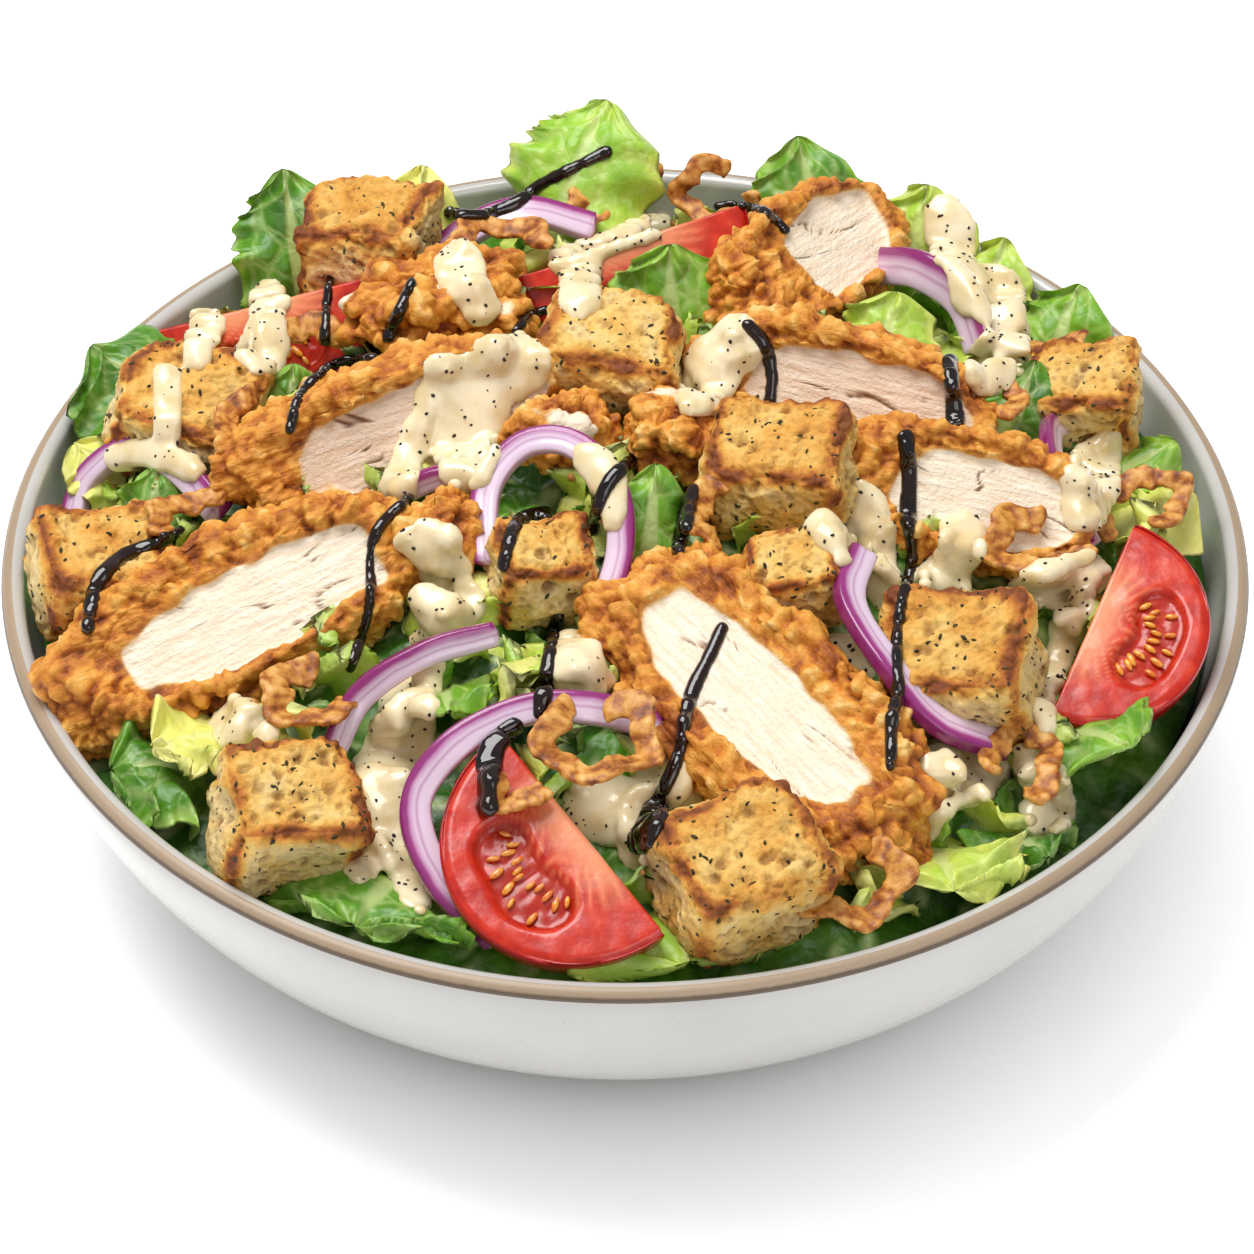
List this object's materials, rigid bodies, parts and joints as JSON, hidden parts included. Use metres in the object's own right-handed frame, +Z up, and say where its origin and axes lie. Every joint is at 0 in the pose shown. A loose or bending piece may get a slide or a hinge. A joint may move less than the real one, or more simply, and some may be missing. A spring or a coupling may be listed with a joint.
{
  "type": "chicken caesar salad in a bowl",
  "caption": "Shallow round stoneware bowl heaped with romaine, fried chicken slices, croutons, tomato wedges, red onion and fried onion, with creamy dressing.",
  "frame": {"origin": "middle of the bowl's foot, on the surface that the bowl stands on", "axes": "+Z up; the pictured front faces -Y and +X is to the right as seen from the front"},
  "size_m": [0.25, 0.25, 0.1018],
  "materials": {
    "stoneware": "glossy off-white glaze with fine specks, and a bare tan band round the rim",
    "lettuce": "moist leaf, from yellow hearts to dark green, with creamy dressing",
    "fried_chicken": "craggy golden crust round moist white meat",
    "fried_crust": "craggy golden fried crust",
    "toasted_bread": "porous toasted bread with dark edges and herb flecks",
    "tomato": "wet red flesh and glossy skin",
    "red_onion": "moist translucent lilac with a purple outer skin",
    "fried_onion": "crisp browned strands"
  },
  "bodies": {
    "root": {"bowl": "stoneware", "chicken_slice_back": "fried_chicken", "chicken_slice_centre": "fried_chicken", "chicken_slice_front": "fried_chicken", "chicken_slice_left": "fried_chicken", "chicken_slice_right": "fried_chicken", "chicken_slice_side": "fried_chicken", "crouton_back_left": "toasted_bread", "crouton_centre_back": "toasted_bread", "crouton_centre_front": "toasted_bread", "crouton_centre_left": "toasted_bread", "crouton_centre_right": "toasted_bread", "crouton_far_left": "toasted_bread", "crouton_far_right": "toasted_bread", "crouton_front": "toasted_bread", "crouton_front_left": "toasted_bread", "crouton_front_right": "toasted_bread", "crouton_left": "toasted_bread", "crust_nugget_back": "fried_crust", "crust_nugget_centre": "fried_crust", "crust_nugget_left": "fried_crust", "crust_nugget_middle": "fried_crust", "fried_onion_curl_back": "fried_onion", "fried_onion_curl_back_right": "fried_onion", "fried_onion_curl_centre": "fried_onion", "fried_onion_curl_far_left": "fried_onion", "fried_onion_curl_left": "fried_onion", "fried_onion_curl_near_right": "fried_onion", "fried_onion_curl_right": "fried_onion", "fried_onion_curl_side": "fried_onion", "fried_onion_curl_tomato": "fried_onion", "fried_onion_ring_far_back": "fried_onion", "fried_onion_ring_far_right": "fried_onion", "fried_onion_ring_front": "fried_onion", "fried_onion_ring_right": "fried_onion", "fried_onion_shred_far_back": "fried_onion", "fried_onion_shred_front": "fried_onion", "fried_onion_shred_left": "fried_onion", "lettuce_heap": "lettuce", "onion_arc_back_left": "red_onion", "onion_arc_back_right": "red_onion", "onion_arc_centre": "red_onion", "onion_arc_far_right": "red_onion", "onion_arc_front": "red_onion", "onion_arc_front_left": "red_onion", "onion_arc_left": "red_onion", "onion_arc_middle": "red_onion", "onion_arc_right": "red_onion", "tomato_wedge_back": "tomato", "tomato_wedge_back_left": "tomato", "tomato_wedge_front": "tomato", "tomato_wedge_right": "tomato"}
  },
  "joints": []
}
